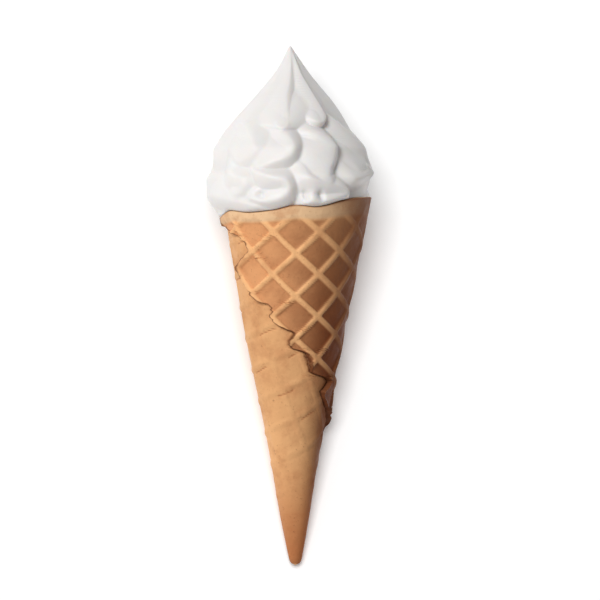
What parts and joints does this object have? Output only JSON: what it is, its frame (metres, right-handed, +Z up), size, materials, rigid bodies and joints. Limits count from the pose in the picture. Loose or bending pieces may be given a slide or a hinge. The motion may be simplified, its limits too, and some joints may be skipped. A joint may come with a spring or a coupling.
{
  "type": "soft serve cone",
  "caption": "Rolled waffle cone filled with soft serve that is piped into a fluted swirl with a drawn-out peak; it lies on its side.",
  "frame": {"origin": "centre of the bounding box's underside, on the surface that the cone lies on", "axes": "+Z up; +Y along the cone, from the wafer's point to the swirl's peak, seen from above"},
  "size_m": [0.0668, 0.2036, 0.0661],
  "materials": {
    "soft_serve": "soft satin white cream",
    "waffle": "matt baked wafer, toasted brown"
  },
  "bodies": {
    "root": {"soft_serve": "soft_serve", "waffle_cone": "waffle"}
  },
  "joints": []
}
